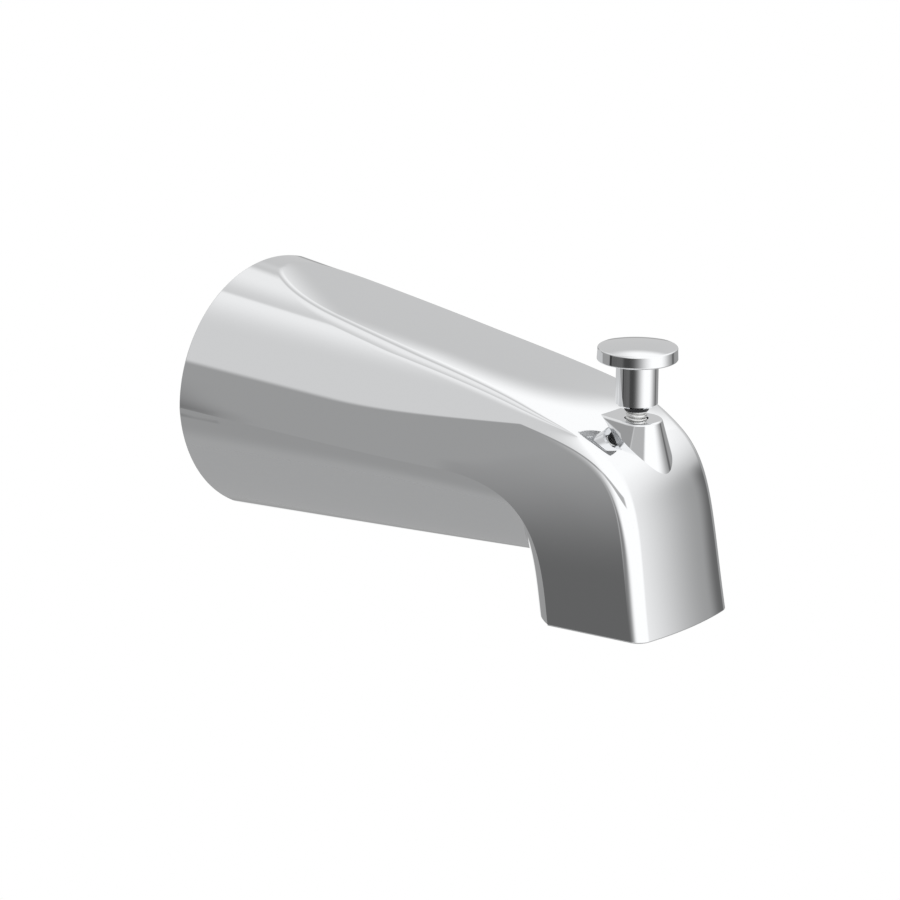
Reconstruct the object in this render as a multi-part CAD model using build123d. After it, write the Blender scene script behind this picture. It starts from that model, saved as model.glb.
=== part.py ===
from build123d import *
from math import cos, hypot, radians, sin, tan
import os

# Bath spout with a lift-knob diverter, in millimetres. The origin is the middle of the wall end.
# +X points out of the wall, +Z points up, and the spout is symmetric about Y = 0.

# Outer form of the casting
reach = 139.5              # wall to the middle of the outlet lip
wall_half_width = 34.5     # wall end, from the axis to the side
wall_half_height = 33.5    # wall end, from the axis to the top
outlet_drop = 35.0         # axis to the outlet's plane
round_taper = 0.093        # how the round back narrows, per mm
belly_taper = 0.095        # how the underside rises, per mm
facet_drop = 0.945         # top facet's plane below the wall end's top, carried back to the wall
facet_slope = 0.142        # fall of the top facet, per mm
facet_start = 9.0          # where the facet's end runs out on the round back
run_in_slope = 0.24        # fall of that end, per mm
nose_length = 76.0         # length over which the top facet bends into the nose
nose_pull = 79.9           # upper handle of the nose curve
front_pull = 41.3          # lower handle of the nose curve
front_lean = 0.189         # forward lean of the front face, per mm
front_bow = 1.6            # how far the lip's middle stands ahead of its corners
side_swell = 5.65          # flat sides outside the wall end's width, carried back to the wall
side_taper = 0.182         # how the flat sides close in towards the front, per mm
side_draft = 0.062         # how the flat sides close in towards the top, per mm
edge_radius = 3.6          # rounding between the top and front faces and the sides
side_blend = 12.0          # rounding between the round back and the flat sides
bend_length = 57.9         # length over which the parting crease bends down
crease_fall = 1.47         # fall of the crease over its straight run
crease_pull = 27.6         # upper handle of the crease curve
rear_pull = 15.0           # lower handle of the crease curve
outlet_depth = 26.3        # lip's middle to the outlet's rear corners
rear_bulge = 13.5          # how far the outlet's round rear stands behind those corners
crease_step = 0.2          # step along the crease
inner_radius = 3.0         # hollow rounding between the underside and the nose's rear

# Inside of the casting
wall = 3.0                 # wall thickness
chamber_setback = 59.5     # lip's middle to the rear face of the partition behind the chamber
partition = 4.0            # partition thickness
seat = 1.6                 # thickness of the seat wall that has the port
floor_rise = 4.0           # outlet's plane to the underside of the chamber's floor
floor = 2.0                # chamber floor thickness
port_half_width = 8.0
port_height = 7.0
rail = 2.0                 # thickness of the gate's rails
rail_lip = 1.6             # how far the rails reach round the gate's rear edge
gland_wall = 2.2           # casting round the rod's bush

# Inlet
inlet_drop = 2.0           # inlet's axis below the wall end's axis
thread_radius = 9.6        # mean radius of the female pipe thread
bushing_wall = 3.4
bushing_length = 22.0      # length held in the casting
bushing_flange = 2.0       # thickness and height of the bushing's flange
bushing_seat = 1.7         # width of the shoulder that the bushing stops on
socket_wall = 3.2          # casting round the bushing
press_gap = 0.02           # radial room of the pressed pieces

# Rod boss on the nose
rod_setback = 17.7         # lip's middle to the rod's axis
boss_drop = 1.36           # flat top below the top facet's plane at the rod
boss_radius = 5.2          # round front
boss_ahead = 1.2           # round front's axis ahead of the rod's axis
boss_angle = 9.0           # angle of each flank to the middle plane
boss_draft = 0.19          # forward lean of the boss's front, per mm
boss_back = 15.0           # boss's rear end behind the rod's axis
boss_edge = 0.5            # rounding of the top edge
rod_hole_gap = 0.25        # radial room of the rod in the boss's hole

# Diverter
lift = 9.0                 # travel of the knob
rod_radius = 2.6
knob_gap = 3.3             # stem's underside above the boss when down
stem_radius = 5.05
stem_length = 11.1
stem_chamfer = 0.4
head_radius = 9.55
head_edge = 2.85           # straight edge of the head
head_dome = 1.0            # rise of the head's top
head_rounding = 0.4
thread_depth = 8.0         # rod's engagement in the knob
ring_height = 1.5          # bumper ring under the stem
ring_wall = 0.55
grip_gap = 0.03            # radial room of the rod in the knob and the bumper ring
slide_gap = 0.3            # room round the gate where it slides
gate_thickness = 1.8
gate_overlap = 1.6         # gate's reach past the port
seal_depth = 0.6           # pocket in the gate's front
seal_proud = 0.4           # how far the seal stands out of its pocket
seal_margin = 0.8          # gate's rim round the pocket
seal_gap = 0.05            # room round the seal in its pocket
ear_thickness = 2.2        # forked ear behind the gate's top
ear_half_width = 5.0
ear_back = 3.6             # ear's reach behind the rod's axis
neck_radius = 1.3          # rod's neck in the fork
neck_gap = 0.2             # room round the neck
button_radius = 2.4        # button under the fork
button_height = 1.8
button_gap = 0.35          # button to the gate's plate
collar_radius = 3.4        # collar that ends the rod's travel on the bush
collar_height = 1.5
bush_radius = 4.3          # bush that holds the seal and guides the rod
bush_length = 5.0
bush_flange = 1.2
bush_rim = 0.7             # reach of the bush's flange
bush_depth = 13.4          # boss's top to the face that the bush's flange stops on
run_gap = 0.06             # radial running room of the rod in its bush and seal
ring_seal_height = 1.6
ring_seal_room = 0.1       # room over the rod's seal

# Places that follow from these sizes
outlet_z = -outlet_drop
nose_start = reach - nose_length
crease_start = reach - bend_length
rear_corner = reach - outlet_depth
rod_station = reach - rod_setback
partition_back = reach - chamber_setback
facet_height = wall_half_height - facet_drop
side_offset = wall_half_width + side_swell
boss_top = facet_height - facet_slope * rod_station - boss_drop
bush_bottom = boss_top - bush_depth
below = outlet_drop + 12
span = wall_half_width + 6
tongue = wall + 2
belly_end = crease_start + 0.85 * (rear_corner - crease_start)
far = reach + 20
lip_half_width = side_offset - side_taper * reach + side_draft * outlet_drop
rear_half_width = side_offset - side_taper * rear_corner + side_draft * outlet_drop
partition_front = partition_back + partition
floor_top = outlet_z + floor_rise + floor
gate_back = rod_station + button_radius + button_gap
gate_front = gate_back + gate_thickness
seal_front = gate_front + seal_proud
seat_back = seal_front + slide_gap
seat_front = seat_back + seat
gate_foot = floor_top + slide_gap
gate_height = port_height + 2 * gate_overlap
gate_top = gate_foot + gate_height
gate_half_width = port_half_width + gate_overlap
port_sill = gate_foot + lift + gate_overlap
fork_foot = gate_top - ear_thickness
stem_bottom = boss_top + knob_gap
stem_top = stem_bottom + stem_length
bush_foot = bush_bottom - bush_flange
bush_top = bush_bottom + bush_length
gland_top = bush_top + ring_seal_height + ring_seal_room
collar_top = bush_foot - slide_gap - lift
bushing_radius = thread_radius + bushing_wall
bushing_back = partition_back - bushing_length


def bow_back(y):
    """How far the section at y lies behind the middle section."""
    return front_bow * (y / lip_half_width) ** 2


def facet_z(x):
    return facet_height - facet_slope * x


def round_scale(x, taper):
    return 1 - taper * x / wall_half_height


def crease_z(x):
    """Height of the crease's straight run."""
    return -crease_fall * x / crease_start


def side_y(x, z):
    """Half width between the flat sides."""
    return side_offset - side_taper * x - side_draft * z


def unit(x, z):
    return Vector(x, 0, z) / hypot(x, z)


def crease_curve(shift):
    """The crease's bend, from its straight run down to the outlet's rear corner."""
    start = Vector(crease_start + shift, 0, crease_z(crease_start))
    end = Vector(rear_corner + shift, 0, outlet_z)
    down = unit(front_lean, -1)
    return Bezier(start, start + Vector(crease_pull, 0, 0), end - down * rear_pull, end)


def side_profile(inset, back):
    """Outline of the hood from the side, with its top and front moved in by inset."""
    along = unit(1, -facet_slope)
    down = unit(front_lean, -1)
    from_top = unit(-facet_slope, -1) * inset
    from_end = unit(-run_in_slope, -1) * inset
    from_front = unit(-1, -front_lean) * inset
    end_z = wall_half_height * round_scale(facet_start, round_taper) + run_in_slope * facet_start
    meet_x = (end_z - facet_height) / (run_in_slope - facet_slope)
    after_x = 2 * meet_x - facet_start
    start = Vector(back, 0, end_z - run_in_slope * back) + from_end
    ahead = Vector(facet_start, 0, end_z - run_in_slope * facet_start) + from_end
    meet = Vector(meet_x, 0, facet_z(meet_x)) + from_top
    after = Vector(after_x, 0, facet_z(after_x)) + from_top
    nose = Vector(nose_start, 0, facet_z(nose_start)) + from_top
    lip = Vector(reach, 0, outlet_z) + from_front
    lip_low = lip + down * (below - outlet_drop)
    bend = crease_curve(bow_back(rear_half_width))
    rear_low = bend @ 1 + down * (below - outlet_drop)
    crease_end = Vector(back, 0, crease_z(back))
    edges = [
        Line(crease_end, start),
        Line(start, ahead),
        Bezier(ahead, meet, after),
        Line(after, nose),
        Bezier(nose, nose + along * nose_pull, lip - down * front_pull, lip),
        Line(lip, lip_low),
        Line(lip_low, rear_low),
        Line(rear_low, bend @ 1),
        bend,
        Line(bend @ 0, crease_end),
    ]
    return Face(Wire(edges))


def round_back(inset, back):
    """Tapered half round on straight legs."""
    sections = []
    for x in (back, far):
        scale = round_scale(x, round_taper)
        w = wall_half_width * scale - inset
        h = wall_half_height * scale - inset
        arch = ThreePointArc((x, -w, 0), (x, 0, h), (x, w, 0))
        legs = Polyline((x, w, 0), (x, w, -below), (x, -w, -below), (x, -w, 0))
        sections.append(Face(Wire([arch, *legs.edges()])))
    return loft(sections, ruled=True)


def flat_sides(inset, back):
    """Wedge between the nose's flat sides."""
    sections = []
    for z in (-below, below):
        a = side_y(back, z) - inset
        b = side_y(far, z) - inset
        outline = Polyline((back, -a, z), (far, -b, z), (far, b, z), (back, a, z), close=True)
        sections.append(Face(Wire(outline.edges())))
    return loft(sections, ruled=True)


def hood(inset, back):
    """Upper body and nose: the bowed side profile, cut to the round back and the flat sides."""
    profile = side_profile(inset, back)
    stations = [span * k / 2 for k in range(-2, 3)]
    block = loft([Pos(-bow_back(y), y, 0) * profile for y in stations])
    return block & round_back(inset, back) & flat_sides(inset, back)


def on_round(point):
    """Whether a point lies on the round back."""
    scale = round_scale(point.X, round_taper)
    high = wall_half_height * scale
    radius = ((wall_half_width * scale) ** 2 + high ** 2) / (2 * high)
    return abs(hypot(point.Y, point.Z - high + radius) - radius) < 0.05


def blend_edges(solid):
    """The two edges where the round back runs into the flat sides."""
    edges = []
    for edge in solid.edges():
        m = edge @ 0.5
        on_side = abs(abs(m.Y) - side_y(m.X, m.Z)) < 0.05
        if on_side and on_round(m) and m.Z > 1:
            edges.append(edge)
    return edges


def top_edges(solid):
    """The edges round the top and front faces, apart from those that cross from face to face."""
    edges = []
    for face in solid.faces():
        normal = face.normal_at(face.center())
        if abs(face.center().Y) < 1 and normal.X + normal.Z > 0.5:
            edges += [edge for edge in face.edges() if abs((edge @ 0.5).Y) > 2]
    return edges


def rounded_hood():
    plain = hood(0, 0)
    blended = fillet(blend_edges(plain), side_blend)
    return fillet(top_edges(blended), edge_radius)


def round_section(left, low, right, cap):
    """Face between the arc through three points and the corners of a cap that reaches into the hood."""
    return Face(Wire([ThreePointArc(left, low, right), *Polyline(right, *cap, left).edges()]))


def belly(inset, back):
    """Underside of the straight run, as round sections hung from the crease."""
    sections = []
    for share in (0, 0.3, 0.6, 0.8, 1):
        x = back + share * (belly_end - back)
        z = crease_z(x)
        half = min(wall_half_width * round_scale(x, round_taper), side_y(x, z)) - inset - crease_step
        low = (x, 0, inset - wall_half_height * round_scale(x, belly_taper))
        inner = half - tongue / 2
        cap = [(x, inner, z + tongue), (x, -inner, z + tongue)]
        sections.append(round_section((x, -half, z), low, (x, half, z), cap))
    return loft(sections)


def nose_rear(inset):
    """Round rear of the nose, as level sections from the crease's bend down past the outlet."""
    bend = crease_curve(0)
    past = unit(front_lean, -1) * (below - outlet_drop)
    sections = []
    for point in (bend @ 0.5, bend @ 0.75, bend @ 1, bend @ 1 + past):
        x = point.X
        z = point.Z
        half = side_y(x, z) - inset - crease_step
        inner = half - tongue / 2
        cap = [(x + tongue, inner, z), (x + tongue, -inner, z)]
        sections.append(round_section((x, -half, z), (x - rear_bulge + inset, 0, z), (x, half, z), cap))
    return loft(sections)


def underside():
    """Belly and nose rear in one, with a hollow rounding where they meet."""
    joined = belly(0, 0) + nose_rear(0)
    low = crease_z(belly_end) - tongue
    meet = []
    for edge in joined.edges():
        m = edge @ 0.5
        if abs(m.Y) < 0.5 and m.Z < low and rear_corner - 2 * rear_bulge < m.X < rear_corner - rear_bulge:
            meet.append(edge)
    return fillet(meet, inner_radius)


def block(x0, x1, y0, y1, z0, z1):
    return Pos((x0 + x1) / 2, (y0 + y1) / 2, (z0 + z1) / 2) * Box(x1 - x0, y1 - y0, z1 - z0)


def slab(x0, x1, z0, z1, half_width):
    return block(x0, x1, -half_width, half_width, z0, z1)


def upright(radius, z0, z1):
    """Cylinder on the rod's axis."""
    return Pos(rod_station, 0, (z0 + z1) / 2) * Cylinder(radius, z1 - z0)


def pipe(radius, x0, x1):
    """Cylinder on the inlet's axis."""
    return Pos((x0 + x1) / 2, 0, -inlet_drop) * Rot(0, 90, 0) * Cylinder(radius, x1 - x0)


def tube(outer, inner, z0, z1):
    return upright(outer, z0, z1) - upright(inner, z0, z1)


def boss_plan(z):
    """Teardrop outline of the rod boss at height z. Its flanks stay upright as its front leans out."""
    angle = radians(boss_angle)
    forward = boss_draft * (boss_top - z) / (1 + sin(angle))
    centre = rod_station + boss_ahead + forward
    radius = boss_radius + forward * sin(angle)
    touch_x = centre - radius * sin(angle)
    touch_y = radius * cos(angle)
    rear_x = rod_station - boss_back
    rear_y = touch_y - (touch_x - rear_x) * tan(angle)
    front = ThreePointArc((touch_x, -touch_y, z), (centre + radius, 0, z), (touch_x, touch_y, z))
    flanks = Polyline((touch_x, touch_y, z), (rear_x, rear_y, z), (rear_x, -rear_y, z),
                      (touch_x, -touch_y, z))
    return Face(Wire([front, *flanks.edges()]))


def rod_boss():
    boss = loft([boss_plan(bush_bottom), boss_plan(boss_top)], ruled=True)
    rim = boss.edges().filter_by_position(Axis.Z, boss_top - 0.01, boss_top + 0.01)
    return fillet(rim.filter_by(lambda edge: (edge @ 0.5).X > rod_station - boss_back + 1), boss_edge)


def gate_rail(side):
    """Rail at one side of the gate, with a lip behind the gate's edge."""
    top = gate_top + lift
    inner = gate_half_width + slide_gap
    lip_front = gate_back - slide_gap
    lip_back = lip_front - rail
    ys = sorted((side * inner, side * (inner + rail)))
    lip_ys = sorted((side * (gate_half_width - rail_lip), side * (inner + rail)))
    post = block(lip_back, seat_back, *ys, floor_top, top)
    lip = block(lip_back, lip_front, *lip_ys, floor_top, top)
    return post + lip


def spout_body():
    """The casting: outer form less its three hollows, with the inner walls, bosses and bores."""
    outer_hood = rounded_hood()
    outer = (outer_hood + underside()) & slab(0, far, outlet_z, below, span)
    hollow = hood(wall, -wall) + belly(wall, -wall) + nose_rear(wall)
    rear = hollow & slab(-wall, partition_back, -below, below, span)
    chamber = hollow & slab(partition_front, seat_back, floor_top, below, span)
    passage = hollow & slab(seat_front, far, -below, below, span)
    mouth = hollow & slab(partition_front, seat_front, -below, outlet_z + floor_rise, span)
    body = outer - rear - chamber - passage - mouth
    gland = upright(bush_radius + gland_wall, bush_bottom, boss_top) & outer_hood
    socket = pipe(bushing_radius + socket_wall, bushing_back, partition_back)
    body = body + gland + socket + gate_rail(-1) + gate_rail(1) + rod_boss()
    body -= pipe(bushing_radius + press_gap, bushing_back, partition_back)
    body -= pipe(bushing_radius - bushing_seat, partition_back, partition_front)
    body -= slab(seat_back, seat_front, port_sill, port_sill + port_height, port_half_width)
    body -= upright(bush_radius + press_gap, bush_bottom, gland_top)
    body -= upright(rod_radius + rod_hole_gap, gland_top, boss_top)
    return body


def inlet_bushing():
    flange = pipe(bushing_radius + bushing_flange, bushing_back - bushing_flange, bushing_back)
    bush = flange + pipe(bushing_radius, bushing_back, partition_back)
    return bush - pipe(thread_radius, bushing_back - bushing_flange, partition_back)


def diverter_knob():
    """Turned knob: half outline about the rod's axis, then the bore for the rod."""
    rim_z = stem_top + head_edge
    edges = [
        Polyline((0, 0, rim_z + head_dome), (0, 0, stem_bottom), (stem_radius, 0, stem_bottom),
                 (stem_radius, 0, stem_top), (head_radius, 0, stem_top), (head_radius, 0, rim_z)),
        ThreePointArc((head_radius, 0, rim_z), (head_radius / 2, 0, rim_z + 0.75 * head_dome),
                      (0, 0, rim_z + head_dome)),
    ]
    knob = revolve(Face(Wire([*edges[0].edges(), edges[1]])), Axis.Z)
    rims = [edge for edge in knob.edges() if edge.geom_type == GeomType.CIRCLE]
    foot = [edge for edge in rims if (edge @ 0).Z < stem_bottom + 0.01]
    knob = chamfer(foot, stem_chamfer)
    upper = [edge for edge in knob.edges() if (edge @ 0).Z > stem_top - 0.01]
    knob = fillet([edge for edge in upper if edge.geom_type == GeomType.CIRCLE], head_rounding)
    knob = Pos(rod_station, 0, 0) * knob
    return knob - upright(rod_radius + grip_gap, stem_bottom, stem_bottom + thread_depth)


def diverter_rod():
    shank = upright(rod_radius, gate_top, stem_bottom + thread_depth)
    collar = upright(collar_radius, collar_top - collar_height, collar_top)
    neck = upright(neck_radius, fork_foot - neck_gap, gate_top)
    button = upright(button_radius, fork_foot - neck_gap - button_height, fork_foot - neck_gap)
    return shank + collar + neck + button


def knob_bumper_ring():
    ring = tube(rod_radius + ring_wall, rod_radius + grip_gap, stem_bottom - ring_height, stem_bottom)
    outer = ring.edges().filter_by(lambda edge: edge.length > 6.28 * (rod_radius + ring_wall / 2))
    return fillet(outer.filter_by(GeomType.CIRCLE), ring_wall / 2)


def rod_guide_bush():
    sleeve = tube(bush_radius, rod_radius + run_gap, bush_bottom, bush_top)
    return sleeve + tube(bush_radius + bush_rim, rod_radius + run_gap, bush_foot, bush_bottom)


def rod_seal_ring():
    return tube(bush_radius - ring_seal_room, rod_radius + run_gap, bush_top, bush_top + ring_seal_height)


def seal_block(gap, x0, x1):
    return block(x0, x1, -gate_half_width + seal_margin + gap, gate_half_width - seal_margin - gap,
                 gate_foot + seal_margin + gap, gate_top - seal_margin - gap)


def diverter_gate():
    """Plate with a pocket for the seal in its front and a fork for the rod's neck behind its top."""
    plate = slab(gate_back, gate_front, gate_foot, gate_top, gate_half_width)
    ear = slab(rod_station - ear_back, gate_back, fork_foot, gate_top, ear_half_width)
    slot = upright(neck_radius + neck_gap, fork_foot, gate_top)
    slot += slab(rod_station - ear_back, rod_station, fork_foot, gate_top, neck_radius + neck_gap)
    return plate + ear - slot - seal_block(0, gate_front - seal_depth, gate_front)


def gate_seal():
    return seal_block(seal_gap, gate_front - seal_depth, seal_front)


pieces = {
    "spout_body": spout_body(),
    "inlet_bushing": inlet_bushing(),
    "diverter_knob": diverter_knob(),
    "diverter_rod": diverter_rod(),
    "knob_bumper_ring": knob_bumper_ring(),
    "rod_guide_bush": rod_guide_bush(),
    "rod_seal_ring": rod_seal_ring(),
    "diverter_gate": diverter_gate(),
    "gate_seal": gate_seal(),
}

os.makedirs("parts", exist_ok=True)
for name, solid in pieces.items():
    export_step(solid, f"parts/{name}.step")
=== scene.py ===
import math

import bmesh
import bpy
import numpy as np
from bpy.props import FloatProperty, FloatVectorProperty, IntProperty, PointerProperty
from mathutils import Matrix


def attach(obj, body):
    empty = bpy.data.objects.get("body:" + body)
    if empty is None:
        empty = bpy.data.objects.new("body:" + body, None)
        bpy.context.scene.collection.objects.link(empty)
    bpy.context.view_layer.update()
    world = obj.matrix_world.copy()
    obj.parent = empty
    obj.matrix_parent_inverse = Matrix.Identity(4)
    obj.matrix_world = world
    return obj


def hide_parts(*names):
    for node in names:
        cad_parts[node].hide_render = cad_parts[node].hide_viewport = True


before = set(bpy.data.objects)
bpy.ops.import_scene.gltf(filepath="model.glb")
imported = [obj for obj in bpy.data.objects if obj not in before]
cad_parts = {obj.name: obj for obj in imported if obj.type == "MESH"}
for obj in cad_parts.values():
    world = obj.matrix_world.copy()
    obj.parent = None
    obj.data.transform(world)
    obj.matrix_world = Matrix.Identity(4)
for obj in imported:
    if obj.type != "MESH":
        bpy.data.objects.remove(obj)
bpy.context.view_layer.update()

bl_info = {
    "name": "Bath spout dressing",
    "version": (1, 0, 0),
    "blender": (4, 5, 0),
    "location": "3D View > Sidebar > Bath spout",
    "description": "Skins, threads, finishes and studio of a bath spout with a lift knob",
    "category": "Object",
}

MM = 0.001

# Form of the casting in millimetres. Its long edges, nose and boss differ a little from the solid's
REACH = 139.5
WALL_HALF_WIDTH = 34.5
WALL_HALF_HEIGHT = 33.5
OUTLET_Z = -35.0
ROUND_TAPER = 0.093
BELLY_TAPER = 0.095
FACET_HEIGHT = 32.555
FACET_SLOPE = 0.142
FACET_START = 9.0
RUN_IN_SLOPE = 0.24
NOSE_START = 42.2
NOSE_PULL = 100.6
FRONT_PULL = 49.9
FRONT_LEAN = 0.184
FRONT_BOW = 1.6
SIDE_OFFSET = 40.15
SIDE_TAPER = 0.182
SIDE_DRAFT = 0.062
SIDE_BLEND = 3.0
FOOT_DRAFT = 0.062
FOOT_LEAD = 14.0         # run from the wall over which the feet's draft comes in
LIP_EDGE = 4.2           # rounding of the long edge at the lip
BACK_EDGE = 11.0         # and where it is largest, farther back
EDGE_LOW = -20.0         # height where the rounding begins to grow
EDGE_RISE = 42.0
EDGE_POWER = 6
EDGE_FALL_FROM = 22.0    # height where the growth begins to fall to half
EDGE_FALL = 9.0
LEAD_WIDTH = 8.5         # slight lead-in at the facet's edges
LEAD_DROP = 0.85
LEAD_LIMIT = 1.2
CREASE_START = 81.6
CREASE_FALL = 1.47
CREASE_PULL = 27.6
CREASE_STEP = 0.2
STEP_FROM = 50.0         # station where the crease's step comes in
STEP_RUN = 50.0
HANG_END = 104.0         # last station of the crease that the belly hangs from
BELLY_END = 96.6
REAR_PULL = 15.0
REAR_CORNER = 113.2
REAR_BULGE = 13.5
INNER_RADIUS = 1.2
LIP_HALF_WIDTH = SIDE_OFFSET - SIDE_TAPER * REACH - SIDE_DRAFT * OUTLET_Z
REAR_HALF_WIDTH = SIDE_OFFSET - SIDE_TAPER * REAR_CORNER - SIDE_DRAFT * OUTLET_Z

# Boss, knob, ring and rod in millimetres
ROD_STATION = 121.8
BOSS_TOP = 13.9
BOSS_FOOT = 0.5
BOSS_RADIUS = 5.2
BOSS_AHEAD = 1.2
BOSS_ANGLE = 7.5
BOSS_FRONT_DRAFT = 0.255
BOSS_SIDE_DRAFT = 0.37
BOSS_BACK = 13.2
BOSS_EDGE = 0.5
ROD_HOLE = 2.85
HOLE_RIM = 0.18
HOLE_DEPTH = 6.0
STEM_BOTTOM = BOSS_TOP + 3.3
STEM_TOP = STEM_BOTTOM + 10.95
STEM_RADIUS = 5.05
STEM_CHAMFER = 0.4
HEAD_RADIUS = 9.66
HEAD_RIM = STEM_TOP + 3.05
HEAD_DOME = 1.15
HEAD_ROUNDING = 0.4
HEAD_FILLET = 0.8
KNOB_BORE = 2.63
KNOB_BORE_DEPTH = 8.0
RING_RADIUS = 3.2
RING_FOOT = 2.85
RING_HEIGHT = 1.4
RING_GAP = 0.04
RING_GRIP = 0.03
ROD_RADIUS = 2.6
ROD_TOP = STEM_BOTTOM + 8.0
THREAD_TOP = STEM_BOTTOM + 1
THREAD_FOOT = BOSS_TOP - 1.5
SHANK_END = -10.0
COLLAR_RADIUS = 3.4
COLLAR_END = -11.5
NECK_START = -18.5
NECK_RADIUS = 1.3
NECK_END = -20.9
BUTTON_RADIUS = 2.4
ROD_FOOT = -22.7

# Inlet's thread in millimetres
INLET_AXIS_Z = -2.0
INLET_RADIUS = 9.6
INLET_THREAD_START = 57.5
INLET_THREAD_LENGTH = 20.0

# How finely the skins are drawn, and what of the solid's faces the skins stand for
BEHIND_WALL = 6.0        # the guide curves run on past the wall and the outlet
PAST_OUTLET = 12.0
OUTSIDE = 40.0           # farther out than the body's skins
FAR_REACH = 75.0         # longer than any ray to a skin
BATCH = 20000
FACET_POINTS = 200       # profile points that go forward along the top
REAR_FIRST = 900         # bend point where the nose's rear begins
TURN_X = 76.0            # rows stand upright up to here, then turn with the nose
STRAIGHT_ROWS = 62
BEND_ROWS = 120
BOW_FROM = 15.0          # station where the rows begin to follow the front's bow
BOW_RUN = 60.0
UPPER_COLUMNS = 104
UPPER_TIGHTNESS = 1.1    # how much closer the columns lie where the skin turns
LOWER_COLUMNS = 46
LOWER_TIGHTNESS = 0.5
RING_SEGMENTS = 96
ROD_SEGMENTS = 64
FLOOR_SEGMENTS = 96
BOSS_LEVELS = 9
HIDDEN_RADIUS = 3.6      # top skin that the boss hides round the rod
HIDDEN_ABOVE = 5.0
SKIN_DEPTH = 1.5         # solid's faces no deeper than this are drawn by the skins
UNDER_DEPTH = 0.9
BORE_TOP = 7.5
SEAM_SLACK = 0.3         # room beside the crease's bend and the rod's hole
CREASE_SLACK = 0.2
RIM_SLACK = 0.02
FACING = 0.99            # how squarely a rim's faces look along their axis
WELD = 2e-6
IN_PLANE = 4e-6
SHARP_ANGLE = 32

# Camera, floor and surround
CAMERA_TURN = 41.902
CAMERA_TILT = 17.158
CAMERA_RIGHT = 46.463
CAMERA_UP = -18.462
CAMERA_BACK = 793.073
FLOOR_CENTRE = (0.06, 0, -0.62)
FLOOR_RADII = (0.75, 0.5, 0.25, 0.0)
SURROUND = 0.36


def length_setting(name, description, default, low, high):
    """A length that can be set, given in millimetres."""
    return FloatProperty(
        name=name, description=description, default=default * MM, min=low * MM, max=high * MM,
        unit="LENGTH", precision=5)


def colour_setting(name, description, *default):
    """A colour that can be set."""
    return FloatVectorProperty(
        name=name, description=description, subtype="COLOR", size=4, default=(*default, 1.0),
        min=0.0, max=1.0)


class SpoutSizes(bpy.types.PropertyGroup):
    """Small sizes of the skins and threads"""
    rim_rounding: length_setting(
        "Rim rounding", "Rounding of the wall end's and the outlet's outer edges", 0.45, 0.1, 1.0)
    rod_thread_pitch: length_setting(
        "Rod thread pitch", "Rise of one turn of the rod's thread", 1.1, 0.4, 1.5)
    rod_thread_depth: length_setting(
        "Rod thread depth", "Depth of the thread's grooves in the rod", 0.5, 0.2, 0.6)
    pipe_thread_pitch: length_setting(
        "Pipe thread pitch", "Rise of one turn of the inlet's thread", 1.814, 1.0, 2.5)
    pipe_thread_height: length_setting(
        "Pipe thread height", "Height of the thread's crests in the inlet's bore", 0.55, 0.2, 0.8)
    knob_segments: IntProperty(
        name="Knob segments", description="Faces round the knob", default=128, min=48, max=256)


class SpoutFinish(bpy.types.PropertyGroup):
    """Colours of the finishes"""
    chrome: colour_setting("Chrome", "Colour of the chrome plate", 0.86, 0.868, 0.878)
    cast_inside: colour_setting("Casting inside", "Colour of the unpolished inside", 0.36, 0.36, 0.355)
    underside: colour_setting(
        "Knob underside", "Colour of the turned face under the knob's head", 0.55, 0.555, 0.56)
    rod: colour_setting("Rod", "Colour of the threaded rod", 0.8, 0.8, 0.79)
    brass: colour_setting("Brass", "Colour of the inlet bushing", 0.72, 0.55, 0.27)
    rubber: colour_setting("Rubber", "Colour of the rings and the gate's seal", 0.012, 0.012, 0.013)
    bush: colour_setting("Bush plastic", "Colour of the rod's guide bush", 0.82, 0.81, 0.77)
    gate: colour_setting("Gate plastic", "Colour of the gate", 0.12, 0.12, 0.13)


class SpoutStudio(bpy.types.PropertyGroup):
    """Camera and surroundings"""
    focal_length: FloatProperty(
        name="Focal length", description="Lens of the main camera in millimetres", default=120.0,
        min=20.0, max=300.0)
    floor: colour_setting("Floor", "Colour of the floor", 0.41, 0.41, 0.41)


# Shapes that the skins follow


def unit(v):
    """Vectors scaled to length one."""
    return v / np.linalg.norm(v, axis=-1, keepdims=True)


def ring_at(angles):
    """Points of a level circle of radius one."""
    return np.stack([np.cos(angles), np.sin(angles), np.zeros(len(angles))], 1)


def circle(count):
    """Evenly spaced points of a level circle of radius one."""
    return ring_at(np.arange(count) * 2 * math.pi / count)


def quarter_turn(steps):
    """Cosine and sine of equal steps through a quarter turn."""
    return [(math.cos(a), math.sin(a)) for a in (math.pi / 2 * k / steps for k in range(1, steps + 1))]


front_down = unit(np.array([FRONT_LEAN, -1]))


def ease(share):
    """Smooth step from 0 to 1."""
    share = np.clip(share, 0, 1)
    return share * share * (3 - 2 * share)


def halve(inside, near, far, times):
    """Narrows each stretch from near to far round the place where inside turns false."""
    for _ in range(times):
        middle = (near + far) / 2
        hit = inside(middle)
        near = np.where(hit, middle, near)
        far = np.where(hit, far, middle)
    return near, far


def bow_back(y):
    """How far the section at y lies behind the middle section."""
    return FRONT_BOW * (y / LIP_HALF_WIDTH) ** 2


def crease_z(x):
    """Height of the crease's straight run."""
    return -CREASE_FALL * x / CREASE_START


def side_half(x, z):
    """Half width between the flat sides."""
    return SIDE_OFFSET - SIDE_TAPER * x - SIDE_DRAFT * z


def belly_low(x):
    """Height of the belly's lowest line."""
    return BELLY_TAPER * x - WALL_HALF_HEIGHT


def facet_z(x):
    """Height of the top facet in the middle plane."""
    return FACET_HEIGHT - FACET_SLOPE * x


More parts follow.
